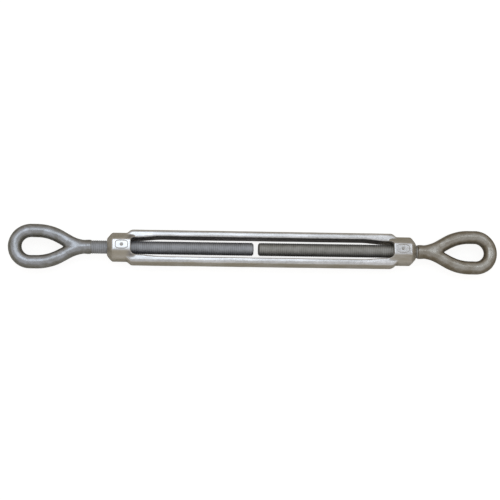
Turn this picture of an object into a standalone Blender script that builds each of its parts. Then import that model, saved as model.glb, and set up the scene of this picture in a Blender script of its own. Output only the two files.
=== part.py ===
"""Eye-and-eye rigging turnbuckle, drop-forged and hot-dip galvanised.

Three pieces: an open forged body with an octagonal boss at each end, and two eye bolts
with threads of opposite hand, one in each boss. Turning the body draws both bolts in or
lets both out. X runs along the screw axis, the two rails lie side by side in Y, and the
body rests on the bottom flats of its bosses at z = 0.
"""

import math

import bmesh
import bpy
from mathutils import Matrix, Vector

# ---- bolt: five-eighths inch coarse thread -------------------------------------------
BOLT_DIAMETER = 0.015875
THREAD_PITCH = 0.0254 / 11
THREAD_DEPTH = 0.60 * THREAD_PITCH
RUNNING_GAP = 0.0003  # radial, between a bolt and the bore that carries it
SHANK_SHOULDER = 0.0007  # the plain shank stands this far proud of the thread
TIP_CHAMFER = 0.0024
TIP_GAP = 0.0060  # between the two bolt tips, as adjusted
TIP_OFFSET = -0.0081  # the middle of that gap, from the middle of the body

# ---- eye ------------------------------------------------------------------------------
EYE_INSIDE_WIDTH = 0.0225
LIMB_WIDTH = 0.0160  # in the plane of the eye
LIMB_THICKNESS = 0.0152  # across that plane
EYE_SIDE_LENGTH = 0.0070  # straight stretch at the widest place
CHEEK_RADIUS = 0.0550  # the limbs' middle line, closing in towards the neck
NECK_FILLET_RADIUS = 0.0450  # the limbs' middle line, flowing into the shank
NECK_ANGLE = math.radians(30)
LIMB_SQUARENESS = 2.25  # exponent of the limb's section, where 2 is an ellipse
PLAIN_SHANK_LENGTH = 0.0050
CROTCH_RADIUS = 0.0032  # where the limbs meet, seen from above
CROTCH_LENGTH = 0.0080  # no part of that round is further than this from its apex
WEB_LENGTH = 0.0110  # the groove between the limbs fills up over this length
WEB_FILL = 0.85  # share of the groove that is filled

# ---- body -----------------------------------------------------------------------------
SLOT_LENGTH = 0.3175
SLOT_CLEARANCE = 0.0044  # from the bolt to each rail
RAIL_WIDTH = 0.0090
RAIL_HEIGHT = 0.0200
BOSS_LENGTH = 0.0285
BOSS_WALL = 0.0083  # from the bore to a flat
BOSS_CORNER_RADIUS = 0.0016
BOSS_NOSE_LENGTH = 0.0066  # conical end of a boss
BOSS_NOSE_WALL = 0.0012  # metal left round the bore at the very end
NOSE_ROUNDING = 1.4  # 1 is a plain cone
SHOULDER_LENGTH = 0.0100  # from a boss's side out to a rail's
SHOULDER_START = 0.0080  # how far past the slot's end that begins
TAIL_LENGTH = 0.0070  # the rails run on inside the boss by this much more
FALL_LENGTH = 0.0135  # from a boss's top down to a rail's
FALL_START = 0.0020  # how far that runs on under the boss
FALL_WIDTH = 0.75  # share of a rail's width that the boss's foot covers
FOOT_INSET = 0.0012  # boss and rails lie this far inside each other's faces
SLOT_TAPER_LENGTH = 0.0330
SLOT_TAPER = 0.0022  # each rail leans in this far towards the slot's ends
SLOT_CORNER_RADIUS = 0.0050
SHANK_STANDOFF = 0.0072  # plain shank's end to the boss, with the tip at the body's middle
EDGE_CHAMFER = 0.0031  # outer edges of the rails
OUTER_DRAFT = 0.0007  # sideways, from the parting plane to the edge chamfer
SLOT_EDGE_CHAMFER = 0.0010  # inner edges of the rails
SLOT_DRAFT = 0.0003
MOUTH_CHAMFER = 0.0009
CUTTER_REACH = 0.0030  # cutters run past the faces they open
CUTTER_CLEAR = 0.0002  # keeps a cutter's edges off the faces it meets

# ---- how finely the round shapes are divided ------------------------------------------
THREAD_STEPS = 12  # per turn
LIMB_SIDES = 20
BORE_SIDES = 32
CORNER_STEPS = 3

# ---- sizes that follow from the ones above --------------------------------------------
BORE_RADIUS = BOLT_DIAMETER / 2 + RUNNING_GAP
THREAD_ROOT = BOLT_DIAMETER / 2 - THREAD_DEPTH
SHANK_RADIUS = BOLT_DIAMETER / 2 + SHANK_SHOULDER
BOSS_FLATS = 2 * (BORE_RADIUS + BOSS_WALL)
AXIS_HEIGHT = BOSS_FLATS / 2
SLOT_WIDTH = BOLT_DIAMETER + 2 * SLOT_CLEARANCE
BODY_HALF = SLOT_LENGTH / 2 + BOSS_LENGTH
THREAD_LENGTH = BODY_HALF + SHANK_STANDOFF
BODY_X = -TIP_OFFSET  # puts the middle of the whole length at x = 0
SMALL = 1e-6  # points closer than this are one point


def clear_scene():
    for obj in list(bpy.data.objects):
        bpy.data.objects.remove(obj, do_unlink=True)


def make_material(name, colour, roughness, metallic):
    material = bpy.data.materials.new(name)
    material.use_nodes = True
    shader = material.node_tree.nodes["Principled BSDF"]
    shader.inputs["Base Color"].default_value = (*colour, 1.0)
    shader.inputs["Roughness"].default_value = roughness
    shader.inputs["Metallic"].default_value = metallic
    material.diffuse_color = (*colour, 1.0)
    return material


def add_object(name, bm, material=None, location=(0, 0, 0), turn=0.0):
    """Turn a bmesh into an object whose origin is at location, turned about Z."""
    bmesh.ops.recalc_face_normals(bm, faces=bm.faces)
    mesh = bpy.data.meshes.new(name)
    bm.to_mesh(mesh)
    bm.free()
    if material:
        mesh.materials.append(material)
    obj = bpy.data.objects.new(name, mesh)
    obj.location = location
    obj.rotation_euler = (0, 0, turn)
    bpy.context.collection.objects.link(obj)
    return obj


def combine(target, other, operation):
    """Give target a Boolean with a helper object, which is kept out of renders."""
    other.hide_render = True
    other.display_type = "WIRE"
    other.parent = target
    other.matrix_parent_inverse = Matrix.Identity(4)
    modifier = target.modifiers.new(operation.title() + " " + other.name, "BOOLEAN")
    modifier.operation = operation
    modifier.solver = "EXACT"
    modifier.object = other


def shade_smooth(obj, angle):
    """Smooth shading, kept crisp where two faces meet at more than angle."""
    bm = bmesh.new()
    bm.from_mesh(obj.data)
    for face in bm.faces:
        face.smooth = True
    for edge in bm.edges:
        edge.smooth = not edge.is_manifold or edge.calc_face_angle() < angle
    bm.to_mesh(obj.data)
    bm.free()


def add_ring(bm, points):
    verts = [bm.verts.new(point) for point in points]
    return [bm.edges.new((a, b)) for a, b in zip(verts, verts[1:] + verts[:1])]


def loft(rings):
    """A closed bmesh skinned through closed rings of equal length."""
    bm = bmesh.new()
    loops = [add_ring(bm, ring) for ring in rings]
    for near, far in zip(loops, loops[1:]):
        bmesh.ops.bridge_loops(bm, edges=near + far)
    for end in (loops[0], loops[-1]):
        bmesh.ops.edgeloop_fill(bm, edges=end)
    return bm


def ease(share):
    """Smooth step from 0 to 1."""
    return share * share * (3 - 2 * share)


def spaced(low, high, steps):
    return [low + (high - low) * i / steps for i in range(steps + 1)]


# ---- eye bolt -------------------------------------------------------------------------
class LimbPath:
    """Middle line of one limb of the eye, from the crown to the end of the shank.

    The crown of the eye is at x = 0 and the shank runs towards +X. Places along the
    line are given by their length from the crown.
    """

    def __init__(self):
        self.crown = EYE_INSIDE_WIDTH / 2 + LIMB_WIDTH / 2
        bend = 1 - math.cos(NECK_ANGLE)
        drop = self.crown - (CHEEK_RADIUS + NECK_FILLET_RADIUS) * bend
        slope = drop / math.sin(NECK_ANGLE)
        # each piece is (length, turn over that length), inwards positive
        self.pieces = (
            (self.crown * math.pi / 2, math.pi / 2),
            (EYE_SIDE_LENGTH, 0.0),
            (CHEEK_RADIUS * NECK_ANGLE, NECK_ANGLE),
            (slope, 0.0),
            (NECK_FILLET_RADIUS * NECK_ANGLE, -NECK_ANGLE),
            (PLAIN_SHANK_LENGTH, 0.0),
        )
        self.breaks = [0.0]
        for length, _ in self.pieces:
            self.breaks.append(self.breaks[-1] + length)

    def at(self, along):
        """(x, y, direction) a given length from the crown."""
        x, y, heading = LIMB_WIDTH / 2, 0.0, math.pi / 2
        for length, turn in self.pieces:
            step = min(max(along, 0.0), length)
            part = turn * step / length
            if turn:
                radius = length / turn
                x += radius * (math.sin(heading) - math.sin(heading - part))
                y += radius * (math.cos(heading - part) - math.cos(heading))
            else:
                x += step * math.cos(heading)
                y += step * math.sin(heading)
            heading -= part
            along -= step
        return x, y, heading

    def reach(self, along):
        """How far the limb's inner side is from its middle line, swelling at the crotch."""
        x, y, heading = self.at(along)
        half = LIMB_WIDTH / 2
        start_x, start_y, _ = self.at(self.breaks[3])
        apex = start_x + (start_y - half / math.cos(NECK_ANGLE)) / math.tan(NECK_ANGLE)
        inwards = Vector((math.sin(heading), -math.cos(heading)))
        to_centre = Vector((apex - CROTCH_RADIUS / math.sin(NECK_ANGLE) - x, -y))
        middle = to_centre.dot(inwards)
        off = abs(to_centre.cross(inwards))
        if along < self.breaks[2] or x < apex - CROTCH_LENGTH or off > CROTCH_RADIUS:
            return half
        return max(half, middle - math.sqrt(CROTCH_RADIUS**2 - off**2))

    def crotch(self):
        """The length at which the inner sides of the two limbs meet."""
        low, high = self.breaks[2], self.breaks[5]
        for _ in range(60):
            middle = (low + high) / 2
            _, y, heading = self.at(middle)
            if y > self.reach(middle) * math.cos(heading):
                low = middle
            else:
                high = middle
        return high

    def stations(self):
        crotch = self.crotch()
        places = spaced(self.breaks[0], self.breaks[1], 9)
        places += spaced(self.breaks[1], self.breaks[2], 1)[1:]
        places += spaced(self.breaks[2], crotch, 8)[1:]
        places += spaced(crotch, self.breaks[5], 10)[1:]
        cone = SHANK_RADIUS - THREAD_ROOT
        places += [self.breaks[6] - cone, self.breaks[6]]
        return places, crotch


def limb_section(path, along, crotch):
    """Points of one limb's section, round its outer side, open on the middle plane.

    Before the crotch the first and last points fall together and close the ring.
    """
    x, y, heading = path.at(along)
    outward = Vector((-math.sin(heading), math.cos(heading), 0))
    past = max(0.0, along - crotch)
    left = path.breaks[5] - crotch
    blend = ease(min(1.0, past / left))
    half_width = LIMB_WIDTH / 2 + (SHANK_RADIUS - LIMB_WIDTH / 2) * blend
    half_height = LIMB_THICKNESS / 2 + (SHANK_RADIUS - LIMB_THICKNESS / 2) * blend
    squareness = LIMB_SQUARENESS + (2 - LIMB_SQUARENESS) * blend
    fill = 1 - ease(min(1.0, past / WEB_LENGTH)) * WEB_FILL
    reach = path.reach(min(along, crotch))
    inner = 1.0 if along <= crotch else min(1.0, y / (reach * outward.y))
    points = []
    for side in (1, -1):
        angles = spaced(math.acos(inner), math.pi, LIMB_SIDES // 2)
        for angle in angles if side == 1 else angles[-2::-1]:
            t = -math.cos(angle)
            depth = -t * fill if t < 0 else t
            rise = max(0.0, 1 - depth**squareness) ** (1 / squareness)
            place = Vector((x, y, 0)) + outward * (t * (reach if t < 0 else half_width))
            points.append((place.x, max(0.0, place.y), side * half_height * rise))
    return points


def eye_mesh():
    """The eye, its neck and the plain shank, closed at the shank's end."""
    path = LimbPath()
    places, crotch = path.stations()
    bm = bmesh.new()
    bmesh.ops.create_grid(
        bm, x_segments=len(places) - 1, y_segments=LIMB_SIDES, size=0.5
    )
    sections = [limb_section(path, along, crotch) for along in places]
    for vert in bm.verts:
        i = round((vert.co.x + 0.5) * (len(places) - 1))
        j = round((vert.co.y + 0.5) * LIMB_SIDES)
        vert.co = sections[i][j]
    bmesh.ops.remove_doubles(bm, verts=bm.verts, dist=SMALL)
    everything = bm.verts[:] + bm.edges[:] + bm.faces[:]
    bmesh.ops.mirror(
        bm, geom=everything, matrix=Matrix.Identity(4), merge_dist=SMALL, axis="Y"
    )
    bmesh.ops.remove_doubles(bm, verts=bm.verts, dist=SMALL)
    end = [edge for edge in bm.edges if edge.is_boundary]
    bmesh.ops.edgeloop_fill(bm, edges=end)
    length = path.at(path.breaks[6])[0]
    # the plain shank ends in a cone that runs down to the thread's root
    rim = [vert for vert in bm.verts if vert.co.x > length - SMALL]
    bmesh.ops.scale(bm, verts=rim, vec=(1, *[THREAD_ROOT / SHANK_RADIUS] * 2))
    return bm, length


def thread_mesh(start, end, hand):
    """A solid V-threaded rod along X from start to end; hand is 1 for a right-hand thread."""
    bm = bmesh.new()
    crest = BOLT_DIAMETER / 2
    root = THREAD_ROOT
    turns = math.ceil((end - start) / THREAD_PITCH) + 3
    first = start - 1.5 * THREAD_PITCH
    profile = [
        bm.verts.new((first, root, 0)),
        bm.verts.new((first + THREAD_PITCH / 2, crest, 0)),
        bm.verts.new((first + THREAD_PITCH, root, 0)),
    ]
    chain = [bm.edges.new(pair) for pair in zip(profile, profile[1:])]
    bmesh.ops.spin(
        bm,
        geom=profile + chain,
        cent=(0, 0, 0),
        axis=(1, 0, 0),
        dvec=(THREAD_PITCH / THREAD_STEPS, 0, 0),
        angle=hand * 2 * math.pi * turns,
        steps=THREAD_STEPS * turns,
    )
    bmesh.ops.remove_doubles(bm, verts=bm.verts, dist=10 * SMALL)
    for place, side in ((start, -1), (end, 1)):
        bmesh.ops.bisect_plane(
            bm,
            geom=bm.verts[:] + bm.edges[:] + bm.faces[:],
            plane_co=(place, 0, 0),
            plane_no=(side, 0, 0),
            clear_outer=True,
            dist=SMALL,
        )
        rim = [
            edge
            for edge in bm.edges
            if edge.is_boundary and all(abs(v.co.x - place) < SMALL for v in edge.verts)
        ]
        bmesh.ops.edgeloop_fill(bm, edges=rim)
    # the tip is chamfered below the root, and the first turn sinks into the shank
    for vert in bm.verts:
        radius = math.hypot(vert.co.y, vert.co.z)
        most = root - TIP_CHAMFER / 2 + (end - vert.co.x)
        if radius > most:
            vert.co.y *= most / radius
            vert.co.z *= most / radius
    return bm


def make_eye_bolt(name, hand, side, material):
    """One eye bolt. side is -1 for the bolt on the -X side; its origin is its tip."""
    tip = TIP_OFFSET + side * TIP_GAP / 2
    eye, shank_end = eye_mesh()
    length = shank_end + THREAD_LENGTH
    rod = thread_mesh(shank_end - THREAD_PITCH, length, hand)
    for bm in (eye, rod):
        bmesh.ops.translate(bm, verts=bm.verts, vec=(-length, 0, 0))
    location = (BODY_X + tip, 0, AXIS_HEIGHT)
    turn = math.pi if side > 0 else 0.0
    bolt = add_object(name, eye, material, location, turn)
    helper = add_object(name + "_rod", rod)
    shade_smooth(bolt, math.radians(40))
    shade_smooth(helper, math.radians(25))
    combine(bolt, helper, "UNION")
    return bolt


# ---- body -----------------------------------------------------------------------------
def four_quarters(quarter, height):
    """A closed ring from the points of one quarter, given from the end to the middle."""
    ring = [(x, y, height) for x, y in quarter]
    ring += [(-x, y, height) for x, y in reversed(quarter)]
    ring += [(-x, -y, height) for x, y in quarter]
    ring += [(x, -y, height) for x, y in reversed(quarter)]
    return ring


def rails_quarter(inset):
    """A quarter of the outside of the rails in plan, drawn in by inset."""
    wide = SLOT_WIDTH / 2 + RAIL_WIDTH
    narrow = BOSS_FLATS / 2 - FOOT_INSET
    outer = SLOT_LENGTH / 2 + SHOULDER_START
    points = [(outer + TAIL_LENGTH, narrow - inset)]
    for share in spaced(0, 1, 6):
        y = narrow + (wide - narrow) * ease(share)
        points.append((outer - SHOULDER_LENGTH * share, y - inset))
    return points


def slot_quarter(spread):
    """A quarter of the slot in plan, widened by spread."""
    end = SLOT_LENGTH / 2
    narrow = SLOT_WIDTH / 2 - SLOT_TAPER
    corner = SLOT_CORNER_RADIUS
    points = []
    for angle in spaced(0, math.pi / 2, CORNER_STEPS):
        x = end - corner + (corner + spread) * math.cos(angle)
        y = narrow - corner + (corner + spread) * math.sin(angle)
        points.append((x, y))
    start = end - corner
    for share in spaced(0, 1, 6)[1:]:
        y = narrow + (SLOT_WIDTH / 2 - narrow) * ease(share)
        points.append((start - SLOT_TAPER_LENGTH * share, y + spread))
    return points


def both_sides(half):
    """(z, sideways step) pairs from top to bottom, symmetric about the parting plane."""
    return half + [(0.0, 0.0)] + [(-z, step) for z, step in reversed(half)]


def rails_mesh():
    top = RAIL_HEIGHT / 2
    half = [(top, EDGE_CHAMFER + OUTER_DRAFT), (top - EDGE_CHAMFER, OUTER_DRAFT)]
    levels = both_sides(half)
    return loft([four_quarters(rails_quarter(step), z) for z, step in levels])


def slot_mesh():
    """The cutter for the slot. It flares over the rails' inner edges to chamfer them."""
    top = RAIL_HEIGHT / 2 + CUTTER_CLEAR
    edge = RAIL_HEIGHT / 2 - SLOT_EDGE_CHAMFER
    beyond = max(top, BOSS_FLATS / 2) + CUTTER_REACH
    wide = SLOT_DRAFT + top - edge
    levels = both_sides([(beyond, wide + CUTTER_CLEAR), (top, wide), (edge, SLOT_DRAFT)])
    return loft([four_quarters(slot_quarter(step), z) for z, step in levels])


def octagon(half_y, half_z):
    """(y, z) points of an octagon with flats up, down and to the sides, corners rounded."""
    points = []
    reach = 1 / math.cos(math.pi / 8)
    for k in range(8):
        middle = (k + 0.5) * math.pi / 4
        centre = Vector((math.cos(middle), math.sin(middle))) * reach
        shift = BOSS_CORNER_RADIUS / (BOSS_FLATS / 2) * reach
        for angle in spaced(-math.pi / 8, math.pi / 8, 2):
            out = Vector((math.cos(middle + angle), math.sin(middle + angle)))
            bend = out * shift / reach
            corner = centre * (1 - shift / reach) + bend
            points.append((corner.x * half_y, corner.y * half_z))
    return points


def boss_mesh(side):
    """One boss with its conical nose and the shoulders that flow into the rails."""
    full = BOSS_FLATS / 2
    nose_radius = BORE_RADIUS + MOUTH_CHAMFER + BOSS_NOSE_WALL
    rings = []
    for share in spaced(0, 1, 5):
        x = BODY_HALF - BOSS_NOSE_LENGTH * share
        grown = 1 - (1 - share) ** NOSE_ROUNDING
        ring = []
        for y, z in octagon(full, full):
            angle = math.atan2(z, y)
            y = nose_radius * math.cos(angle) * (1 - grown) + y * grown
            z = nose_radius * math.sin(angle) * (1 - grown) + z * grown
            ring.append((side * x, y, z))
        rings.append(ring)
    fall = BODY_HALF - BOSS_LENGTH + FALL_START - FOOT_INSET
    low_y = SLOT_WIDTH / 2 + FALL_WIDTH * RAIL_WIDTH
    low_z = RAIL_HEIGHT / 2 - FOOT_INSET
    for share in spaced(0, 1, 6):
        half_y = full + (low_y - full) * ease(share)
        half_z = full + (low_z - full) * ease(share)
        x = side * (fall - FALL_LENGTH * share)
        rings.append([(x, y, z) for y, z in octagon(half_y, half_z)])
    return loft(rings)


def bore_mesh():
    """The cutter for both threaded ends, with a chamfered mouth at each end face."""
    face = BODY_HALF - MOUTH_CHAMFER
    beyond = BODY_HALF + CUTTER_REACH
    wide = BORE_RADIUS + beyond - face
    stations = ((-beyond, wide), (-face, BORE_RADIUS), (face, BORE_RADIUS), (beyond, wide))
    rings = []
    for x, radius in stations:
        angles = [2 * math.pi * (i + 0.5) / BORE_SIDES for i in range(BORE_SIDES)]
        rings.append([(x, radius * math.cos(a), radius * math.sin(a)) for a in angles])
    return loft(rings)


def make_body(material):
    location = (BODY_X, 0, AXIS_HEIGHT)
    body = add_object("turnbuckle_body", rails_mesh(), material, location)
    for side, label in ((-1, "near"), (1, "far")):
        boss = add_object("boss_" + label, boss_mesh(side))
        shade_smooth(boss, math.radians(30))
        combine(body, boss, "UNION")
    combine(body, add_object("slot_cutter", slot_mesh()), "DIFFERENCE")
    bore = add_object("bore_cutter", bore_mesh())
    shade_smooth(bore, math.radians(30))
    combine(body, bore, "DIFFERENCE")
    shade_smooth(body, math.radians(30))
    return body


def main():
    clear_scene()
    body_zinc = make_material("galvanised_body", (0.56, 0.56, 0.53), 0.42, 0.85)
    bolt_zinc = make_material("galvanised_bolt", (0.40, 0.41, 0.42), 0.46, 0.85)
    make_body(body_zinc)
    make_eye_bolt("eye_bolt_left_hand", -1, -1, bolt_zinc)
    make_eye_bolt("eye_bolt_right_hand", 1, 1, bolt_zinc)


main()
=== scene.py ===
"""Looks of an eye-and-eye rigging turnbuckle, drop-forged and hot-dip galvanised.

A forged open body carries two eye bolts whose threads have opposite hand. X runs along
the screw axis, the eyes and rails lie side by side in Y, and Z is up. Sizes are metres.
"""

from __future__ import annotations

import logging
import math
from collections.abc import Callable, Iterable
from dataclasses import dataclass, field, replace
from enum import Enum
from typing import Union

import bmesh
import bpy
from mathutils import Matrix, Vector, noise


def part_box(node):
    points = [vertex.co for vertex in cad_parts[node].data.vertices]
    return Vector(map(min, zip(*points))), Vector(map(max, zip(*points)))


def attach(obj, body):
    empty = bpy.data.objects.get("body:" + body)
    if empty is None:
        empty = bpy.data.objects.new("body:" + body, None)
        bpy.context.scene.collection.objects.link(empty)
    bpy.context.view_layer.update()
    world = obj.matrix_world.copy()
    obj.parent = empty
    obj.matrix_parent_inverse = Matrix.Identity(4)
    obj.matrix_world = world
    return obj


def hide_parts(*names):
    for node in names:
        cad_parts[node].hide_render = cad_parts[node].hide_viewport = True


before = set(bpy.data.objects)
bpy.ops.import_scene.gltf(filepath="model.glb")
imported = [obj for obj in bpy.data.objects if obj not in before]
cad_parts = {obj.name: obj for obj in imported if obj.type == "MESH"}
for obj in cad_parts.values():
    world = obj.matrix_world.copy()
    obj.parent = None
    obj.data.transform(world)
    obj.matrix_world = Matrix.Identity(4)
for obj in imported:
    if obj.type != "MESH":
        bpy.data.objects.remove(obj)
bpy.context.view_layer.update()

NEAR = 1e-6
SHARP_ANGLE = math.radians(20)
ALONG_AXIS = 0.99
NUMBER = "NodeSocketFloat"
LUMP_ROUGHNESS, LUMP_SPACING, LUMP_OCTAVES = 0.9, 2.1, 3
LOG = logging.getLogger("turnbuckle")
Colour = tuple[float, float, float]
Socket = bpy.types.NodeSocket
Feed = Union[Socket, float, tuple]


class Hand(Enum):
    """Which way a thread winds."""

    RIGHT = 1
    LEFT = -1


class End(Enum):
    """Which end of the turnbuckle a piece belongs to, as the sign of its X."""

    MINUS_X = -1
    PLUS_X = 1


class Tooling(Enum):
    """What a tool does to the piece that it meets."""

    JOIN = "UNION"
    CUT = "DIFFERENCE"


def ease(share: float) -> float:
    """Ease smoothly from 0 to 1, and hold there on either side."""
    share = min(1.0, max(0.0, share))
    return share * share * (3 - 2 * share)


def spaced(low: float, high: float, steps: int) -> list[float]:
    """Divide a stretch into equal steps and list their places, both ends among them."""
    return [low + (high - low) * i / steps for i in range(steps + 1)]


def only(parts: Iterable, kind: type) -> list:
    """Pick the parts of one kind."""
    return [part for part in parts if isinstance(part, kind)]


def show(obj: bpy.types.Object) -> bpy.types.Object:
    """Put an object in the scene."""
    bpy.context.scene.collection.objects.link(obj)
    return obj


# ---- shaping ----
class Blank:
    """A piece of stock that is cut, pressed and rounded into shape, lying along X."""

    def __init__(self) -> None:
        """Start with nothing."""
        self.bm = bmesh.new()

    @classmethod
    def block(cls, size: tuple[float, float, float]) -> Blank:
        """Make a rectangular block centred on the axis.

        Args:
            size: Its length, width and height.

        Returns:
            The block.
        """
        blank = cls()
        shape = Matrix.Diagonal((*size, 1.0))
        bmesh.ops.create_cube(blank.bm, size=1.0, matrix=shape)
        return blank

    @classmethod
    def bar(cls, sides: int, radius: float, start: float, end: float) -> Blank:
        """Make a prism along X with a flat side up.

        Args:
            sides: How many sides it has.
            radius: From the axis to a corner.
            start: Its lower X.
            end: Its higher X.

        Returns:
            The bar.
        """
        blank = cls()
        lay = Matrix.Translation(((start + end) / 2, 0, 0))
        lay = lay @ Matrix.Rotation(math.pi / 2, 4, "Y")
        lay = lay @ Matrix.Rotation(math.pi / sides, 4, "Z")
        bmesh.ops.create_cone(
            blank.bm, cap_ends=True, cap_tris=False, segments=sides, radius1=radius,
            radius2=radius, depth=end - start, matrix=lay,
        )
        return blank

    @property
    def parts(self) -> list:
        """List all its vertices, edges and faces."""
        return self.bm.verts[:] + self.bm.edges[:] + self.bm.faces[:]

    def move(self, by: Iterable[float]) -> None:
        """Shift the whole piece."""
        bmesh.ops.translate(self.bm, verts=self.bm.verts, vec=by)

    def take(self, other: Blank) -> None:
        """Add another piece's shell to this one.

        Args:
            other: The other piece, which is used up.
        """
        mesh = bpy.data.meshes.new("taken")
        other.bm.to_mesh(mesh)
        other.bm.free()
        self.bm.from_mesh(mesh)
        bpy.data.meshes.remove(mesh)

    def slice(self, places: Iterable[float], axis: tuple[int, int, int] = (1, 0, 0)) -> None:
        """Cut loops of edges round the piece and leave it whole.

        Args:
            places: Where along the axis the loops go.
            axis: The direction that the loops are square to.
        """
        for place in places:
            at = Vector(axis) * place
            bmesh.ops.bisect_plane(
                self.bm, geom=self.parts, plane_co=at, plane_no=axis, dist=NEAR
            )

    def press(self, die: Callable[[Vector], Vector]) -> None:
        """Move every point to where the die puts it."""
        for vert in self.bm.verts:
            vert.co = die(vert.co.copy())

    def round_edges(self, along: int, offset: float, segments: int) -> None:
        """Round the sharp edges that run along one axis.

        Args:
            along: The number of that axis.
            offset: How far back from the edge the rounding starts.
            segments: How many facets it has.
        """
        chosen = []
        for edge in self.bm.edges:
            run = edge.verts[1].co - edge.verts[0].co
            straight = abs(run[along]) > ALONG_AXIS * run.length
            if straight and edge.calc_face_angle(0.0) > SHARP_ANGLE:
                chosen.append(edge)
        bmesh.ops.bevel(
            self.bm, geom=chosen, offset=offset, offset_type="OFFSET", affect="EDGES",
            segments=segments, profile=0.5, material=-1,
        )

    def relax(self, times: int, chosen: Callable[[Vector], bool] | None = None) -> None:
        """Soften the surface by moving points towards their neighbours.

        Args:
            times: How often to do it.
            chosen: Tells which points to move; all of them if it is left out.
        """
        verts = [v for v in self.bm.verts if chosen is None or chosen(v.co)]
        for _ in range(times):
            bmesh.ops.smooth_vert(
                self.bm, verts=verts, factor=0.5, use_axis_x=True, use_axis_y=True,
                use_axis_z=True,
            )

    def refine(self, chosen: Callable[[Vector], bool], cuts: int) -> None:
        """Cut each edge of the chosen region, so that its faces are finer."""
        edges = [e for e in self.bm.edges if all(chosen(v.co) for v in e.verts)]
        bmesh.ops.subdivide_edges(self.bm, edges=edges, cuts=cuts, use_grid_fill=True)

    def swell(self, rise: Callable[[Vector, Vector], float]) -> None:
        """Raise the surface along its normals.

        Args:
            rise: Gives the height from a point and its normal.
        """
        self.bm.normal_update()
        lifts = [(v, v.normal * rise(v.co, v.normal)) for v in self.bm.verts]
        for vert, lift in lifts:
            vert.co += lift

    def as_object(self, name: str) -> bpy.types.Object:
        """Turn the piece into an object with smooth faces and outward normals.

        Args:
            name: The object's name.

        Returns:
            The new object, at the origin.
        """
        bmesh.ops.recalc_face_normals(self.bm, faces=self.bm.faces)
        for face in self.bm.faces:
            face.smooth = True
        mesh = bpy.data.meshes.new(name)
        self.bm.to_mesh(mesh)
        self.bm.free()
        return show(bpy.data.objects.new(name, mesh))


def boolean(target: bpy.types.Object, tool: bpy.types.Object, does: Tooling) -> None:
    """Add an exact Boolean to an object.

    Args:
        target: The object that is changed.
        tool: The object that it is joined with or cut by.
        does: Which of the two it is.
    """
    modifier = target.modifiers.new(does.name.title(), "BOOLEAN")
    modifier.operation = does.value
    modifier.solver = "EXACT"
    modifier.object = tool


def set_modifiers(obj: bpy.types.Object, tools: list[bpy.types.Object]) -> Blank:
    """Carry out an object's modifiers and remove it and its tools.

    Args:
        obj: The object with live modifiers.
        tools: The objects that its modifiers used.

    Returns:
        The resulting shape as a blank.
    """
    graph = bpy.context.evaluated_depsgraph_get()
    blank = Blank()
    made = bpy.data.meshes.new_from_object(obj.evaluated_get(graph))
    blank.bm.from_mesh(made)
    bpy.data.meshes.remove(made)
    for used in [obj, *tools]:
        bpy.data.objects.remove(used, do_unlink=True)
    return blank


def reskin(obj: bpy.types.Object, size: float) -> None:
    """Add a Remesh that welds overlapping shells into one even skin.

    Args:
        obj: The object to cover.
        size: The width of the skin's faces.
    """
    modifier = obj.modifiers.new("Skin", "REMESH")
    modifier.mode = "VOXEL"
    modifier.voxel_size = size
    modifier.use_smooth_shade = True


def zinc_lumps(place: Vector, lumps: Iterable[tuple[float, float]]) -> float:
    """Give the unevenness of a dipped zinc coat.

    Args:
        place: The point on the surface.
        lumps: The width of each kind of lump, and how far it rises or sinks.

    Returns:
        The height at that point.
    """
    rise = 0.0
    for width, height in lumps:
        rise += height * noise.fractal(
            place / width, LUMP_ROUGHNESS, LUMP_SPACING, LUMP_OCTAVES
        )
    return rise


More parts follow.
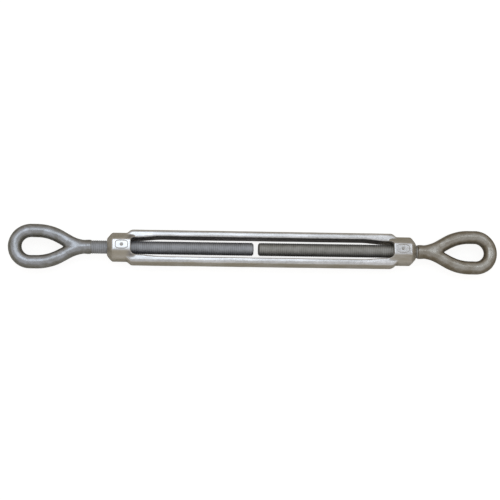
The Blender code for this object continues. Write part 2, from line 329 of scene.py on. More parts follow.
# ---- finishes ----
class Tree:
    """A node tree that is filled node by node."""

    def __init__(self, tree: bpy.types.NodeTree) -> None:
        """Hold the node tree to fill.

        Args:
            tree: The node tree.
        """
        self.tree = tree
        self.inputs: bpy.types.Node | None = None
        self.outputs: bpy.types.Node | None = None

    @classmethod
    def group(cls, name: str, takes: dict[str, float], gives: Iterable[str]) -> Tree:
        """Start a shader node group, whose sockets all hold numbers.

        Args:
            name: The group's name.
            takes: Its inputs and their usual values.
            gives: Its outputs.

        Returns:
            The tree, with a node for its inputs and one for its outputs.
        """
        tree = bpy.data.node_groups.new(name, "ShaderNodeTree")
        new_socket = tree.interface.new_socket
        for label, value in takes.items():
            socket = new_socket(label, in_out="INPUT", socket_type=NUMBER)
            socket.default_value = value
        for label in gives:
            new_socket(label, in_out="OUTPUT", socket_type=NUMBER)
        made = cls(tree)
        made.inputs = tree.nodes.new("NodeGroupInput")
        made.outputs = tree.nodes.new("NodeGroupOutput")
        return made

    def add(
        self, kind: str, settings: dict | None = None, **values: Feed
    ) -> bpy.types.Node:
        """Add a node, set it and wire it.

        Args:
            kind: The node's type without its ShaderNode prefix.
            settings: Properties of the node itself.
            values: Sockets by name, with underscores for spaces, or by number as n0,
                n1 and so on. An output socket is linked and anything else is set.

        Returns:
            The node.
        """
        node = self.tree.nodes.new("ShaderNode" + kind)
        for label, value in (settings or {}).items():
            setattr(node, label, value)
        for label, value in values.items():
            number = label[1:].isdigit()
            socket = node.inputs[int(label[1:]) if number else label.replace("_", " ")]
            if isinstance(value, Socket):
                self.tree.links.new(value, socket)
            else:
                socket.default_value = value
        return node

    def maths(self, operation: str, *values: Feed, clamp: bool = False) -> Socket:
        """Add a Math node.

        Args:
            operation: What it does.
            values: Its inputs in order.
            clamp: Whether the result is held between 0 and 1.

        Returns:
            Its output.
        """
        wired = {f"n{i}": value for i, value in enumerate(values)}
        settings = {"operation": operation, "use_clamp": clamp}
        return self.add("Math", settings, **wired).outputs[0]

    def blend(self, share: Feed, first: Feed, second: Feed, how: str = "MIX") -> Socket:
        """Mix two colours.

        Args:
            share: How much of the second shows.
            first: A colour or a socket.
            second: A colour or a socket.
            how: The way that they are mixed.

        Returns:
            The mixed colour.
        """
        settings = {"data_type": "RGBA", "blend_type": how}
        pair = [(*c, 1.0) if isinstance(c, tuple) else c for c in (first, second)]
        return self.add("Mix", settings, n0=share, n6=pair[0], n7=pair[1]).outputs[2]

    def ramp(self, value: Feed, low: float, high: float) -> Socket:
        """Turn a range of values into a mask that eases from 0 to 1.

        Args:
            value: The socket to read.
            low: What becomes 0.
            high: What becomes 1.

        Returns:
            The mask.
        """
        settings = {"interpolation_type": "SMOOTHSTEP"}
        made = self.add(
            "MapRange", settings, Value=value, From_Min=low, From_Max=high
        )
        return made.outputs[0]

    def place(self) -> Socket:
        """Give the point on the surface, in the piece's own frame."""
        return self.add("TexCoord").outputs["Object"]

    def split(self, vector: Feed) -> bpy.types.bpy_prop_collection:
        """Take a vector apart into X, Y and Z."""
        return self.add("SeparateXYZ", None, Vector=vector).outputs

    def mottle(self, place: Feed, scale: Feed, detail: float, **more: Feed) -> Socket:
        """Add a Noise Texture that is read at a place, and give its value."""
        wired = {"Vector": place, "Scale": scale, "Detail": detail, **more}
        return self.add("TexNoise", None, **wired).outputs[0]

    def effect(
        self, group: bpy.types.NodeTree, **values: Feed
    ) -> bpy.types.bpy_prop_collection:
        """Place a shared node group and give its outputs."""
        return self.add("Group", {"node_tree": group}, **values).outputs

    def wire(self, node: bpy.types.Node, **wires: Socket) -> None:
        """Feed the inputs of a node, which go by name."""
        for label, socket in wires.items():
            self.tree.links.new(socket, node.inputs[label.replace("_", " ")])


def new_material(name: str) -> tuple[bpy.types.Material, Tree, bpy.types.Node]:
    """Start a material.

    Args:
        name: Its name.

    Returns:
        The material, its tree and its shader.
    """
    material = bpy.data.materials.new(name)
    material.use_nodes = True
    shader = material.node_tree.nodes["Principled BSDF"]
    return material, Tree(material.node_tree), shader


def zinc_group() -> bpy.types.NodeTree:
    """Build the mottling of a hot-dipped zinc coat.

    Returns:
        The group, which gives cloudy and crystalline masks and a height.
    """
    group = Tree.group(
        "zinc_coat",
        {"Cloud Size": 90.0, "Spangle Size": 420.0, "Grain Size": 2600.0, "Draw": 1.0},
        ("Clouds", "Spangle", "Height"),
    )
    place = group.place()
    sizes = group.inputs.outputs
    stretch = group.add("CombineXYZ", None, X=sizes["Draw"], Y=1.0, Z=1.0).outputs[0]
    drawn = group.add(
        "VectorMath", {"operation": "MULTIPLY"}, n0=place, n1=stretch
    ).outputs[0]
    clouds = group.mottle(drawn, sizes["Cloud Size"], 4.0, Roughness=0.62, Distortion=0.6)
    crystals = group.add(
        "TexVoronoi", {"feature": "F1"}, Vector=place, Scale=sizes["Spangle Size"],
        Randomness=1.0,
    )
    grey = group.add("SeparateColor", None, Color=crystals.outputs["Color"]).outputs[0]
    grain = group.mottle(place, sizes["Grain Size"], 2.0)
    mask = group.ramp(clouds, 0.36, 0.66)
    lumps = group.maths("MULTIPLY", clouds, 0.88)
    height = group.maths("ADD", lumps, group.maths("MULTIPLY", grain, 0.12))
    group.wire(group.outputs, Clouds=mask, Spangle=grey, Height=height)
    return group.tree


def wear_group() -> bpy.types.NodeTree:
    """Build the masks for rubbed edges and for hollows that hold dirt.

    Returns:
        The group, which gives both masks.
    """
    group = Tree.group("edge_wear", {"Reach": 0.03}, ("Edge", "Hollow"))
    bend = group.add("NewGeometry").outputs["Pointiness"]
    reach = group.inputs.outputs["Reach"]
    patches = group.mottle(group.place(), 260.0, 3.0)
    raised = group.maths("SUBTRACT", bend, 0.505)
    sunk = group.maths("SUBTRACT", 0.495, bend)
    worn = group.maths("DIVIDE", raised, reach, clamp=True)
    edge = group.maths("MULTIPLY", worn, group.ramp(patches, 0.35, 0.6))
    hollow = group.maths("DIVIDE", sunk, reach, clamp=True)
    group.wire(group.outputs, Edge=edge, Hollow=hollow)
    return group.tree


def flank_group() -> bpy.types.NodeTree:
    """Build the mask for sides, which get painted shade: a darker drab tan, laid on by how
    far a face turns from level.

    Returns:
        The group, which gives the mask.
    """
    sizes = {"Lean": 0.92, "Softness": 0.10}
    group = Tree.group("painted_side_shade", sizes, ("Flank",))
    up = group.split(group.add("NewGeometry").outputs["Normal"])["Z"]
    level = group.maths("ABSOLUTE", up)
    rough = group.mottle(group.place(), 150.0, 4.0)
    wander = group.maths("MULTIPLY", group.maths("SUBTRACT", rough, 0.5), 0.25)
    lean = group.inputs.outputs["Lean"]
    below = group.maths("SUBTRACT", group.maths("ADD", lean, wander), level)
    flank = group.maths("DIVIDE", below, group.inputs.outputs["Softness"], clamp=True)
    group.wire(group.outputs, Flank=flank)
    return group.tree


def root_group() -> bpy.types.NodeTree:
    """Build the mask for dirt in a screw thread's root.

    Returns:
        The group, which gives a mask from the distance to the screw axis.
    """
    group = Tree.group(
        "thread_root",
        {"Axis Height": 0.0165, "Root": 0.0074, "Crest": 0.0080},
        ("Root Dirt",),
    )
    parts = group.split(group.place())
    sizes = group.inputs.outputs
    high = group.maths("SUBTRACT", parts["Z"], sizes["Axis Height"])
    flat = group.add("CombineXYZ", None, Y=parts["Y"], Z=high).outputs[0]
    out = group.add("VectorMath", {"operation": "LENGTH"}, n0=flat).outputs["Value"]
    depth = group.maths("SUBTRACT", sizes["Crest"], out)
    full = group.maths("SUBTRACT", sizes["Crest"], sizes["Root"])
    dirt = group.maths("DIVIDE", depth, full, clamp=True)
    group.wire(group.outputs, Root_Dirt=dirt)
    return group.tree


@dataclass
class Effects:
    """The node groups that the finishes share."""

    zinc: bpy.types.NodeTree = field(default_factory=zinc_group)
    wear: bpy.types.NodeTree = field(default_factory=wear_group)
    flank: bpy.types.NodeTree = field(default_factory=flank_group)
    root: bpy.types.NodeTree = field(default_factory=root_group)


@dataclass(frozen=True)
class ZincFinish:
    """A galvanised finish: its colours, how shiny it is, how strongly it is marked, and how
    much painted shade its sides and slot walls get.
    """

    name: str
    bright: Colour
    dull: Colour
    # Painted shade on the sides: its tone, strength and patchiness.
    side_shade_tone: Colour
    dirt: Colour = (0.060, 0.052, 0.044)
    side_shade_amount: float = 0.8
    side_shade_patches: tuple[float, float] = (-0.40, 1.10)
    dirt_amount: float = 0.75
    rubbed_amount: float = 0.6
    polished: float = 0.27
    rough: float = 0.46
    metallic: float = 0.95
    draw: float = 1.0
    spangle: float = 0.3
    bump: float = 0.25
    bump_height: float = 0.0004
    thread_dirt: float = 0.0
    screw_radii: tuple[float, float] = (0.0074, 0.0080)
    axis_height: float = 0.0165
    slot_size: tuple[float, float] | None = None
    # Painted shade for the walls inside the slot: its tone, its strength, and where it starts
    # and fades.
    slot_shade_tone: Colour = (0.17, 0.17, 0.20)
    slot_shade_amount: float = 0.9
    slot_lip: tuple[float, float] = (0.0012, 0.0003)
    slot_ends: tuple[float, float] = (0.001, 0.010)
    slot_turn: tuple[float, float] = (0.45, 0.80)

    def painted_slot_shade_mask(self, tree: Tree) -> Socket:
        """Mask the walls inside the slot, which get painted shade: their colour is darkened
        as if in shadow.

        Args:
            tree: The material's tree.

        Returns:
            The mask.
        """
        half_length, half_width = self.slot_size
        parts = tree.split(tree.place())
        facing = tree.split(tree.add("NewGeometry").outputs["Normal"])
        out = tree.maths("ABSOLUTE", parts["Y"])
        along = tree.maths("ABSOLUTE", parts["X"])
        turned = tree.maths("ABSOLUTE", facing["Y"])
        within = tree.ramp(out, *(half_width + lip for lip in self.slot_lip))
        before = tree.ramp(along, *(half_length - end for end in self.slot_ends))
        shaded_wall = tree.maths("MULTIPLY", tree.ramp(turned, *self.slot_turn), within)
        return tree.maths("MULTIPLY", shaded_wall, before)

    def material(self, effects: Effects) -> bpy.types.Material:
        """Build the material.

        Args:
            effects: The shared node groups.

        Returns:
            The material.
        """
        material, tree, shader = new_material(self.name)
        zinc = tree.effect(effects.zinc, Draw=self.draw)
        wear = tree.effect(effects.wear)
        flank = tree.effect(effects.flank)["Flank"]
        coat = tree.blend(zinc["Clouds"], self.dull, self.bright)
        crystal = tree.maths("MULTIPLY_ADD", zinc["Spangle"], self.spangle / 2, 1.0)
        tinted = tree.blend(1.0, coat, crystal, "MULTIPLY")
        # Painted shade: sides turn darker and tan, in uneven patches.
        patchy = tree.maths("MULTIPLY_ADD", zinc["Clouds"], *self.side_shade_patches)
        side_shaded = tree.maths("MULTIPLY", flank, self.side_shade_amount)
        side_shaded = tree.maths("MULTIPLY", side_shaded, patchy, clamp=True)
        colour = tree.blend(side_shaded, tinted, self.side_shade_tone)
        dirt = tree.maths("MULTIPLY", wear["Hollow"], self.dirt_amount)
        # Painted shade: the walls inside the slot are darkened.
        if self.slot_size:
            shaded_wall = tree.maths("MULTIPLY", self.painted_slot_shade_mask(tree), self.slot_shade_amount)
            colour = tree.blend(shaded_wall, colour, self.slot_shade_tone)
        if self.thread_dirt:
            low, high = self.screw_radii
            root = tree.effect(
                effects.root, Axis_Height=self.axis_height, Root=low, Crest=high
            )["Root Dirt"]
            packed = tree.maths("MULTIPLY", root, self.thread_dirt)
            dirt = tree.maths("MAXIMUM", dirt, packed)
        colour = tree.blend(dirt, colour, self.dirt)
        rubbed = tree.maths("MULTIPLY", wear["Edge"], self.rubbed_amount)
        colour = tree.blend(rubbed, colour, self.bright)
        crystals = tree.maths("MULTIPLY", zinc["Spangle"], self.spangle)
        shade = tree.maths("ADD", crystals, side_shaded)
        shade = tree.maths("ADD", shade, dirt)
        rough = tree.add(
            "MapRange", None, Value=shade, To_Min=self.polished, To_Max=self.rough
        ).outputs[0]
        bump = tree.add(
            "Bump", None, Strength=self.bump, Distance=self.bump_height,
            Height=zinc["Height"],
        ).outputs[0]
        shader.inputs["Metallic"].default_value = self.metallic
        tree.wire(shader, Base_Color=colour, Roughness=rough, Normal=bump)
        return material


# ---- forged body ----
@dataclass
class ForgedBody:
    """The open body: two rails joined at each end by a tapped octagonal boss."""

    node: str = "turnbuckle_body"
    bolt_radius: float = 0.0079375
    running_gap: float = 0.0003
    slot_length: float = 0.3175
    slot_clearance: float = 0.0044
    slot_taper: float = 0.0022
    slot_taper_length: float = 0.0330
    slot_corner: float = 0.0050
    rail_width: float = 0.0090
    rail_height: float = 0.0200
    edge_chamfer: float = 0.0031
    outer_draft: float = 0.0007
    boss_length: float = 0.0285
    boss_corner: float = 0.0009
    nose_length: float = 0.0066
    nose_wall: float = 0.0012
    nose_rounding: float = 1.2
    mouth_chamfer: float = 0.0009
    shoulder_length: float = 0.0100
    shoulder_start: float = 0.0080
    tail_length: float = 0.0070
    fall_length: float = 0.0135
    fall_start: float = 0.0020
    fall_width: float = 0.75
    foot_inset: float = 0.0012
    cutter_reach: float = 0.0040
    pad_length: float = 0.0135
    pad_width: float = 0.0088
    pad_rise: float = 0.00040
    pad_squareness: int = 4
    pad_edge: float = 1.14
    pad_fall: float = 0.14
    pad_margin: float = 0.65
    dimple_radius: float = 0.0019
    dimple_edge: float = 1.2
    dimple_sink: float = 0.0007
    flash_rise: float = 0.00030
    flash_width: float = 0.0011
    lumps: tuple = ((0.012, 0.00010), (0.0034, 0.000015))
    grain_stretch: float = 0.35
    skin: float = 0.00078
    softenings: int = 3

    def __post_init__(self) -> None:
        """Work out the sizes that follow from the others."""
        low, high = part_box(self.node)
        self.middle = (low + high) / 2
        self.full = (high.z - low.z) / 2
        self.half = (high.x - low.x) / 2
        self.bore = self.bolt_radius + self.running_gap
        self.slot_half = self.bolt_radius + self.slot_clearance
        self.pad_centre = self.half - (self.boss_length + self.nose_length) / 2

    def rails(self) -> Blank:
        """Forge the two rails as one block with flowing shoulders.

        Returns:
            The block.
        """
        wide = self.slot_half + self.rail_width
        narrow = self.full - self.foot_inset
        outer = self.slot_length / 2 + self.shoulder_start
        length = 2 * (outer + self.tail_length)
        blank = Blank.block((length, 2 * wide, self.rail_height))
        blank.round_edges(0, self.edge_chamfer, 2)
        shoulder = spaced(outer - self.shoulder_length, outer, 8)
        blank.slice([-x for x in shoulder] + shoulder)
        blank.slice([0.0], (0, 0, 1))
        flat = self.rail_height / 2 - self.edge_chamfer

        def die(place: Vector) -> Vector:
            """Draw the shoulders in and give the sides their draft.

            Args:
                place: A point of the block.

            Returns:
                Where it goes.
            """
            share = (outer - abs(place.x)) / self.shoulder_length
            reach = narrow + (wide - narrow) * ease(share)
            lean = self.outer_draft * min(1.0, abs(place.z) / flat)
            place.y *= (reach - lean) / wide
            return place

        blank.press(die)
        return blank

    def slot(self) -> Blank:
        """Make the cutter for the slot between the rails.

        Returns:
            The cutter.
        """
        height = 2 * (self.full + self.cutter_reach)
        blank = Blank.block((self.slot_length, 2 * self.slot_half, height))
        blank.round_edges(2, self.slot_corner, 6)
        end = self.slot_length / 2 - self.slot_corner
        stations = spaced(end - self.slot_taper_length, end, 10)
        blank.slice([-x for x in stations] + stations)

        def die(place: Vector) -> Vector:
            """Let the rails lean in towards the slot's ends.

            Args:
                place: A point of the cutter.

            Returns:
                Where it goes.
            """
            share = (end - abs(place.x)) / self.slot_taper_length
            reach = self.slot_half - self.slot_taper * (1 - ease(share))
            place.y *= reach / self.slot_half
            return place

        blank.press(die)
        return blank

    def boss(self, end: End) -> Blank:
        """Forge one boss, with its nose and the foot that falls to the rails.

        Args:
            end: The end that it goes to.

        Returns:
            The boss.
        """
        fall = self.half - self.boss_length + self.fall_start - self.foot_inset
        foot = fall - self.fall_length
        blank = Blank.bar(8, self.full / math.cos(math.pi / 8), foot, self.half)
        blank.round_edges(0, self.boss_corner, 3)
        nose = self.half - self.nose_length
        blank.slice(spaced(nose, self.half, 10)[:-1] + spaced(foot, fall, 10)[1:])
        low_y = (self.slot_half + self.fall_width * self.rail_width) / self.full
        low_z = (self.rail_height / 2 - self.foot_inset) / self.full
        rim = self.bore + self.mouth_chamfer + self.nose_wall

        def die(place: Vector) -> Vector:
            """Round the nose to a circle and lower the foot.

            Args:
                place: A point of the boss.

            Returns:
                Where it goes.
            """
            past = (place.x - nose) / self.nose_length
            if past > 0:
                share = max(0.0, 1 - past)
                kept = 1 - (1 - share) ** self.nose_rounding
                ring = Vector((0, place.y, place.z)).normalized() * rim
                place.y += (ring.y - place.y) * (1 - kept)
                place.z += (ring.z - place.z) * (1 - kept)
            down = ease((fall - place.x) / self.fall_length)
            place.y *= 1 + (low_y - 1) * down
            place.z *= 1 + (low_z - 1) * down
            place.x *= end.value
            return place

        blank.press(die)
        return blank

    def bore_cutter(self) -> Blank:
        """Make the cutter for both bores, flared at their mouths.

        Returns:
            The cutter.
        """
        beyond = self.half + self.cutter_reach
        face = self.half - self.mouth_chamfer
        blank = Blank.bar(64, self.bore, -beyond, beyond)
        blank.slice([-face, face])

        def die(place: Vector) -> Vector:
            """Flare the ends.

            Args:
                place: A point of the cutter.

            Returns:
                Where it goes.
            """
            past = max(0.0, abs(place.x) - face - NEAR)
            grow = 1 + past / self.bore
            return Vector((place.x, place.y * grow, place.z * grow))

        blank.press(die)
        return blank

    def on_pad(self, place: Vector) -> bool:
        """Tell whether a point is on top of a boss, near its raised pad.

        Args:
            place: The point, from the middle of the body.

        Returns:
            Whether it is.
        """
        along = abs(abs(place.x) - self.pad_centre) < self.pad_margin * self.pad_length
        across = abs(place.y) < self.pad_margin * self.pad_width
        return along and across and place.z > 0.9 * self.full

    def marks(self, place: Vector, normal: Vector) -> float:
        """Give the height of the forging's marks at a point.

        Args:
            place: The point, from the middle of the body.
            normal: Its normal.

        Returns:
            How far the surface rises there.
        """
        drawn = Vector((place.x * self.grain_stretch, place.y, place.z))
        rise = zinc_lumps(drawn, self.lumps)
        side = ease((abs(normal.y) - 0.55) / 0.3)
        flash = max(0.0, 1 - (place.z / self.flash_width) ** 2)
        outside = abs(place.y) > self.slot_half + self.rail_width / 2
        if outside or abs(place.x) > self.slot_length / 2:
            rise += self.flash_rise * flash * side
        x, y = abs(place.x) - self.pad_centre, place.y
        if normal.z > 0.8 and abs(x) < self.pad_length:
            power = self.pad_squareness
            along = (abs(x) / self.pad_length * 2) ** power
            across = (abs(y) / self.pad_width * 2) ** power
            reach = (along + across) ** (1 / power)
            rise += self.pad_rise * ease((self.pad_edge - reach) / self.pad_fall)
            off = math.hypot(x, y) / self.dimple_radius
            rise -= self.dimple_sink * ease(self.dimple_edge - off)
        return rise

    def build(self) -> bpy.types.Object:
        """Join, cut and skin the body.

        Returns:
            The finished object.
        """
        body = self.rails().as_object("forged_body")
        tools = [self.boss(end).as_object("boss_" + end.name) for end in End]
        for boss in tools:
            boolean(body, boss, Tooling.JOIN)
        for cutter in (self.slot(), self.bore_cutter()):
            tools.append(cutter.as_object("cutter"))
            boolean(body, tools[-1], Tooling.CUT)
        reskin(body, self.skin)
        blank = set_modifiers(body, tools)
        blank.relax(self.softenings)
        blank.refine(self.on_pad, 2)
        blank.swell(self.marks)
        blank.move(self.middle)
        return blank.as_object("forged_body")

    def dress(self, piece: bpy.types.Object, effects: Effects) -> None:
        """Give the body its finish and its place in the frame.

        Args:
            piece: The finished body.
            effects: The shared node groups.
        """
        finish = ZincFinish(
            name="body_zinc",
            bright=(0.66, 0.66, 0.675),
            dull=(0.52, 0.52, 0.525),
            side_shade_tone=(0.44, 0.405, 0.335),
            polished=0.20,
            rough=0.40,
            draw=0.25,
            slot_size=(self.slot_length / 2, self.slot_half),
        )
        piece.data.materials.append(finish.material(effects))
        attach(piece, "body")
        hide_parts(self.node)


# ---- eye bolts ----
class Bender:
    """Bends a bar in the level plane, from a ring of edges at its leading end."""

    def __init__(self, bm: bmesh.types.BMesh, ring: list, at: Vector, heading: float) -> None:
        """Take hold of the bar.

        Args:
            bm: The mesh that holds it.
            ring: The vertices and edges of its leading end.
            at: Where the middle of that end is.
            heading: Which way it runs, from +X towards +Y.
        """
        self.bm = bm
        self.ring = ring
        self.at = at
        self.heading = heading

    def run(self, length: float) -> None:
        """Make the bar longer, straight on.

        Args:
            length: By how much.
        """
        step = Vector((math.cos(self.heading), math.sin(self.heading), 0)) * length
        edges = only(self.ring, bmesh.types.BMEdge)
        made = bmesh.ops.extrude_edge_only(self.bm, edges=edges)["geom"]
        verts = only(made, bmesh.types.BMVert)
        bmesh.ops.translate(self.bm, verts=verts, vec=step)
        self.ring = [p for p in made if not isinstance(p, bmesh.types.BMFace)]
        self.at = self.at + step

    def bend(self, radius: float, turn: float, steps: int) -> None:
        """Make the bar longer along an arc.

        Args:
            radius: The radius of its middle line.
            turn: The angle that it turns through; positive is towards +Y.
            steps: How many lengths the arc has.
        """
        side = math.copysign(radius, turn)
        left = Vector((-math.sin(self.heading), math.cos(self.heading), 0))
        centre = self.at + left * side
        made = bmesh.ops.spin(
            self.bm, geom=self.ring, cent=centre, axis=(0, 0, 1), angle=turn, steps=steps
        )
        self.ring = made["geom_last"]
        self.at = centre + Matrix.Rotation(turn, 3, "Z") @ (self.at - centre)
        self.heading += turn

    def close(self) -> None:
        """Fill the leading end."""
        bmesh.ops.edgeloop_fill(self.bm, edges=only(self.ring, bmesh.types.BMEdge))


@dataclass
class EyeBolt:
    """One forged eye with its threaded shank."""

    node: str
    body: str
    end: End
    hand: Hand
    eye_finish: ZincFinish
    thread_finish: ZincFinish
    radius: float = 0.0080
    pitch: float = 0.0254 / 11
    thread_depth: float = 0.24 * 0.0254 / 11
    shoulder: float = 0.0006
    tip_chamfer: float = 0.0024
    inside_width: float = 0.0225
    limb_width: float = 0.0160
    limb_thickness: float = 0.0152
    limb_squareness: float = 2.25
    side_length: float = 0.0070
    cheek_radius: float = 0.0550
    neck_radius: float = 0.0450
    neck_angle: float = math.radians(30)
    plain_length: float = 0.0050
    neck_waist: float = 0.14
    root_flat: float = 0.14
    crest_flat: float = 0.10
    turn_steps: int = 48
    spare_turns: float = 1.5
    limb_sides: int = 36
    crown_steps: int = 20
    neck_steps: int = 14
    skin: float = 0.00064
    softenings: int = 4
    crotch_softenings: int = 28
    crotch_span: tuple[float, float] = (-0.75, 0.95)
    crotch_narrowing: float = 0.55
    flash_rise: float = 0.00022
    flash_width: float = 0.0012
    lumps: tuple = ((0.016, 0.00015), (0.004, 0.00001))

    def __post_init__(self) -> None:
        """Work out the sizes that follow from the others."""
        low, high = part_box(self.node)
        self.middle = (low + high) / 2
        self.length = high.x - low.x
        self.root = self.radius - self.thread_depth
        self.shank = self.radius + self.shoulder
        self.plain_end = 0.0

    def eye(self) -> tuple[Blank, float]:
        """Forge the eye, with its crown at x = 0 and its shank towards +X.

        Returns:
            The eye and the X at which its plain shank ends.
        """
        blank = Blank()
        half = self.limb_width / 2
        crown = self.inside_width / 2 + half
        start = Vector((half, 0, 0))
        stand = Matrix.Rotation(math.pi / 2, 4, "X")
        bmesh.ops.create_circle(
            blank.bm, segments=self.limb_sides, radius=1.0, matrix=stand
        )
        power = 2 / self.limb_squareness

        def section(place: Vector) -> Vector:
            """Square the round section a little and set it at the crown.

            Args:
                place: A point of the unit circle.

            Returns:
                Where it goes.
            """
            x = math.copysign(abs(place.x) ** power, place.x) * half
            z = math.copysign(abs(place.z) ** power, place.z) * self.limb_thickness / 2
            return start + Vector((x, 0, z))

        blank.press(section)
        ring = blank.bm.verts[:] + blank.bm.edges[:]
        bender = Bender(blank.bm, ring, start, math.pi / 2)
        bender.bend(crown, -math.pi / 2, self.crown_steps)
        bender.run(self.side_length)
        bender.bend(self.cheek_radius, -self.neck_angle, self.neck_steps)
        across = 1 - math.cos(self.neck_angle)
        drop = crown - (self.cheek_radius + self.neck_radius) * across
        bender.run(drop / math.sin(self.neck_angle))
        neck_start = bender.at.x
        bender.bend(self.neck_radius, self.neck_angle, self.neck_steps)
        neck_end = bender.at.x
        bender.close()
        bmesh.ops.mirror(
            blank.bm, geom=blank.parts, matrix=Matrix.Identity(4), merge_dist=NEAR,
            axis="Y",
        )
        shank_end = neck_end + self.plain_length
        stub = Blank.bar(self.turn_steps, self.shank, (neck_start + neck_end) / 2, shank_end)
        cone = self.shank - self.root
        stub.slice([shank_end - cone, neck_end])

        def stub_die(place: Vector) -> Vector:
            """Thin the shank into the neck and cone its end down to the thread's root.

            Args:
                place: A point of the stub.

            Returns:
                Where it goes.
            """
            into = ease((neck_end - place.x) / (neck_end - neck_start) * 2)
            scale = 1 - self.neck_waist * into
            if place.x > shank_end - NEAR:
                scale = self.root / self.shank
            return Vector((place.x, place.y * scale, place.z * scale))

        stub.press(stub_die)
        blank.take(stub)
        limbs = blank.as_object("limbs")
        reskin(limbs, self.skin)
        skinned = set_modifiers(limbs, [])
        skinned.relax(self.softenings)
        inner = self.limb_width / 2 / math.cos(self.neck_angle)

        def in_crotch(place: Vector) -> bool:
            """Tell whether a point is in the groove between the limbs.

            Args:
                place: The point.

            Returns:
                Whether it is.
            """
            share = (place.x - neck_start) / (neck_end - neck_start)
            first, last = self.crotch_span
            most = inner * (1 - self.crotch_narrowing * share)
            return first < share < last and abs(place.y) < most

        skinned.relax(self.crotch_softenings, in_crotch)

        def marks(place: Vector, normal: Vector) -> float:
            """Give the rise of the zinc and of the trimmed flash.

            Args:
                place: A point of the skin.
                normal: Its normal.

            Returns:
                How far the surface rises there.
            """
            rise = zinc_lumps(place, self.lumps)
            level = math.hypot(normal.x, normal.y)
            flash = max(0.0, 1 - (place.z / self.flash_width) ** 2)
            if place.x < neck_end:
                rise += self.flash_rise * flash * ease((level - 0.8) / 0.15)
            return rise

        skinned.swell(marks)
        return skinned, shank_end

    def thread(self, start: float) -> Blank:
        """Cut the screw thread.

        Args:
            start: The X at which it starts.

        Returns:
            The threaded rod.
        """
        blank = Blank()
        turns = (self.length - start) / self.pitch + 2 * self.spare_turns
        first = start - self.spare_turns * self.pitch
        outline = (
            (0.0, self.root),
            (self.root_flat / 2, self.root),
            (0.5 - self.crest_flat / 2, self.radius),
            (0.5 + self.crest_flat / 2, self.radius),
            (1 - self.root_flat / 2, self.root),
            (1.0, self.root),
        )
        profile = [
            blank.bm.verts.new((first + share * self.pitch, out, 0))
            for share, out in outline
        ]
        chain = [blank.bm.edges.new(pair) for pair in zip(profile, profile[1:])]
        bmesh.ops.spin(
            blank.bm, geom=profile + chain, cent=(0, 0, 0), axis=(1, 0, 0),
            dvec=(self.pitch / self.turn_steps, 0, 0),
            angle=self.hand.value * 2 * math.pi, steps=self.turn_steps,
        )
        for power in range(math.ceil(math.log2(turns))):
            copied = bmesh.ops.duplicate(blank.bm, geom=blank.parts)["geom"]
            verts = only(copied, bmesh.types.BMVert)
            step = (self.pitch * 2**power, 0, 0)
            bmesh.ops.translate(blank.bm, verts=verts, vec=step)
        bmesh.ops.remove_doubles(blank.bm, verts=blank.bm.verts, dist=10 * NEAR)
        blank.relax(3)
        crest = max(math.hypot(v.co.y, v.co.z) for v in blank.bm.verts)
        fill = (1, self.radius / crest, self.radius / crest)
        bmesh.ops.scale(blank.bm, verts=blank.bm.verts, vec=fill)
        for place, side in ((start, -1), (self.length, 1)):
            bmesh.ops.bisect_plane(
                blank.bm, geom=blank.parts, plane_co=(place, 0, 0),
                plane_no=(side, 0, 0), clear_outer=True, dist=NEAR,
            )
            rim = [
                edge
                for edge in blank.bm.edges
                if edge.is_boundary
                and all(abs(v.co.x - place) < NEAR for v in edge.verts)
            ]
            bmesh.ops.edgeloop_fill(blank.bm, edges=rim)

        def tip(place: Vector) -> Vector:
            """Keep the end inside its chamfer.

            Args:
                place: A point of the rod.

            Returns:
                Where it goes.
            """
            most = self.root - self.tip_chamfer / 2 + (self.length - place.x)
            out = math.hypot(place.y, place.z)
            scale = min(1.0, most / out)
            return Vector((place.x, place.y * scale, place.z * scale))

        blank.press(tip)
        return blank

    def build(self) -> bpy.types.Object:
        """Join the eye and its thread and set the bolt in its place.

        Returns:
            The finished object.
        """
        eye, shank_end = self.eye()
        self.plain_end = shank_end
        rod = self.thread(shank_end - self.pitch)
        bolt = eye.as_object("eye")
        tool = rod.as_object("rod")
        boolean(bolt, tool, Tooling.JOIN)
        blank = set_modifiers(bolt, [tool])
        if self.end is End.PLUS_X:
            turn = Matrix.Rotation(math.pi, 3, "Z")
            bmesh.ops.rotate(blank.bm, verts=blank.bm.verts, matrix=turn)
        blank.move(self.middle + Vector((self.end.value * self.length / 2, 0, 0)))
        return blank.as_object("eye_bolt_" + self.hand.name.lower())

    def dress(self, piece: bpy.types.Object, effects: Effects) -> None:
        """Give the bolt its finish and its place in the frame.

        Args:
            piece: The finished bolt.
            effects: The shared node groups.
        """
        piece.data.materials.append(self.eye_finish.material(effects))
        piece.data.materials.append(self.thread_finish.material(effects))
        for face in piece.data.polygons:
            place = face.center - self.middle
            from_crown = self.length / 2 - self.end.value * place.x
            near = math.hypot(place.y, place.z) < self.radius + 10 * NEAR
            face.material_index = int(near and from_crown > self.plain_end)
        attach(piece, self.body)
        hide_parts(self.node)


# ---- studio ----
@dataclass(frozen=True)
class Softbox:
    """A rectangular lamp that faces the turnbuckle."""

    name: str
    place: tuple[float, float, float]
    size: tuple[float, float]
    watts: float
    colour: Colour = (0.80, 0.90, 1.0)

    def hang(self) -> None:
        """Put it in the scene, out of the camera's sight."""
        data = bpy.data.lights.new(self.name, "AREA")
        data.shape = "RECTANGLE"
        data.size, data.size_y = self.size
        data.energy = self.watts
        data.color = self.colour
        lamp = show(bpy.data.objects.new(self.name, data))
        lamp.location = self.place
        lamp.rotation_euler = Vector(self.place).to_track_quat("Z", "Y").to_euler()
        lamp.visible_camera = False


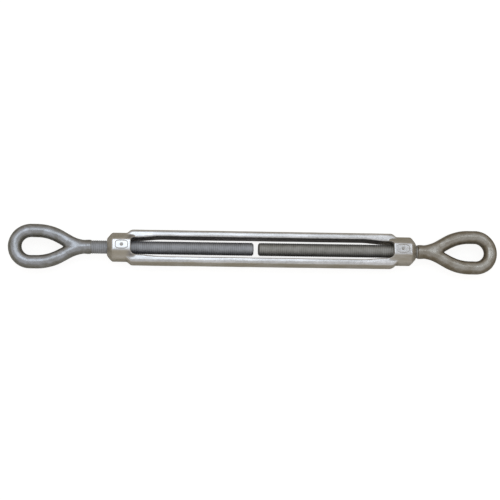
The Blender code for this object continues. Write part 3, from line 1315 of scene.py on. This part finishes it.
@dataclass
class Studio:
    """The floor, the lights and the camera."""

    distance: float = 1.6
    view_width: float = 0.6053
    sensor: float = 36.0
    tilt_back: float = math.radians(14.0)
    tilt_left: float = math.radians(4.4)
    roll: float = math.radians(0.87)
    target: tuple[float, float, float] = (-0.0069, -0.0008, 0.0165)
    floor_size: float = 8.0
    floor_drop: float = 0.0006
    floor_tone: Colour = (0.30, 0.30, 0.30)
    floor_mirrored: Colour = (0.60, 0.57, 0.51)
    floor_glow: float = 0.86
    wall_edge: tuple[float, float] = (0.15, 0.85)
    wall_colour: Colour = (0.64, 0.58, 0.49)
    ceiling_colour: Colour = (0.98, 0.975, 0.965)
    sky_strength: float = 0.70
    front_lit: float = 0.28
    softboxes: tuple[Softbox, ...] = (
        Softbox("softbox", (-0.20, 0.60, 2.0), (1.3, 0.60), 3.1),
        Softbox("side_softbox", (0.98, 0.55, 2.0), (0.30, 0.45), 0.7),
    )

    def camera(self) -> None:
        """Set up the camera, looking down from a little in front of the rails."""
        back = Vector((-math.tan(self.tilt_left), -math.tan(self.tilt_back), 1.0))
        back.normalize()
        across = Vector((1, 0, 0))
        across = (across - back * across.dot(back)).normalized()
        up = back.cross(across)
        turn = Matrix.Rotation(self.roll, 3, back)
        axes = Matrix((turn @ across, turn @ up, back)).transposed().to_4x4()
        data = bpy.data.cameras.new("camera")
        data.sensor_width = self.sensor
        data.lens = self.sensor * self.distance / self.view_width
        camera = show(bpy.data.objects.new("camera", data))
        place = Vector(self.target) + back * self.distance
        camera.matrix_world = Matrix.Translation(place) @ axes
        bpy.context.scene.camera = camera

    def floor(self) -> None:
        """Lay a plain pale floor just under the bosses."""
        blank = Blank()
        half = self.floor_size / 2
        bmesh.ops.create_grid(blank.bm, x_segments=2, y_segments=2, size=half)
        blank.move((0, 0, -self.floor_drop))
        floor = blank.as_object("floor")
        material, tree, shader = new_material("floor_paper")
        mirrored = tree.add("LightPath").outputs["Is Glossy Ray"]
        tone = tree.blend(mirrored, self.floor_tone, self.floor_mirrored)
        glow = tree.blend(mirrored, (1.0, 1.0, 1.0), (0.0, 0.0, 0.0))
        tree.wire(shader, Base_Color=tone, Emission_Color=glow)
        shader.inputs["Emission Strength"].default_value = self.floor_glow
        shader.inputs["Roughness"].default_value = 0.95
        shader.inputs["Specular IOR Level"].default_value = 0.1
        floor.data.materials.append(material)

    def sky(self) -> None:
        """Light the room from above and the front, and leave its walls dim and warm."""
        world = bpy.data.worlds.new("studio")
        world.use_nodes = True
        tree = Tree(world.node_tree)
        parts = tree.split(tree.add("TexCoord").outputs["Generated"])
        up = tree.maths("MULTIPLY_ADD", parts["Y"], -self.front_lit, parts["Z"])
        high = tree.ramp(up, *self.wall_edge)
        colour = tree.blend(high, self.wall_colour, self.ceiling_colour)
        background = world.node_tree.nodes["Background"]
        tree.wire(background, Color=colour)
        background.inputs["Strength"].default_value = self.sky_strength
        bpy.context.scene.world = world
        bpy.context.scene.view_settings.view_transform = "Standard"

    def build(self) -> None:
        """Build the camera, the floor and the lights."""
        self.camera()
        self.floor()
        self.sky()
        for softbox in self.softboxes:
            softbox.hang()


def main() -> None:
    """Build the turnbuckle piece by piece and note its size."""
    logging.basicConfig(level=logging.INFO, format="%(message)s")
    Studio().build()
    effects = Effects()
    low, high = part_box("turnbuckle_body")
    # The left and right finishes are lit and shaded copies of one zinc. The cool cast on the
    # left and the warmer, darker cast on the right are painted light and shade.
    cool = ZincFinish(
        name="left_eye_zinc",
        bright=(0.42, 0.435, 0.47),
        dull=(0.31, 0.315, 0.325),
        side_shade_tone=(0.205, 0.20, 0.175),
        side_shade_amount=0.75,
        polished=0.27,
        rough=0.42,
        spangle=0.08,
        bump=0.12,
    )
    warm = replace(
        cool,
        name="right_eye_zinc",
        bright=(0.41, 0.395, 0.365),
        dull=(0.30, 0.275, 0.235),
        side_shade_tone=(0.205, 0.175, 0.13),
        side_shade_amount=0.8,
    )
    cool_thread = ZincFinish(
        name="left_thread_zinc",
        bright=(0.45, 0.47, 0.51),
        dull=(0.36, 0.375, 0.405),
        side_shade_tone=(0.28, 0.285, 0.30),
        side_shade_amount=0.5,
        polished=0.55,
        rough=0.65,
        spangle=0.05,
        thread_dirt=0.10,
        axis_height=(low.z + high.z) / 2,
    )
    warm_thread = replace(
        cool_thread,
        name="right_thread_zinc",
        bright=(0.42, 0.42, 0.41),
        dull=(0.33, 0.33, 0.315),
        side_shade_tone=(0.25, 0.245, 0.23),
    )
    pieces = [
        ForgedBody(),
        EyeBolt(
            "eye_bolt_left_hand", "left_bolt", End.MINUS_X, Hand.LEFT, cool, cool_thread
        ),
        EyeBolt(
            "eye_bolt_right_hand", "right_bolt", End.PLUS_X, Hand.RIGHT, warm, warm_thread
        ),
    ]
    for piece in pieces:
        obj = piece.build()
        piece.dress(obj, effects)
        faces = sum(len(polygon.vertices) - 2 for polygon in obj.data.polygons)
        LOG.info("%s: %d triangles for %s", obj.name, faces, piece.node)


if __name__ == "__main__":
    main()
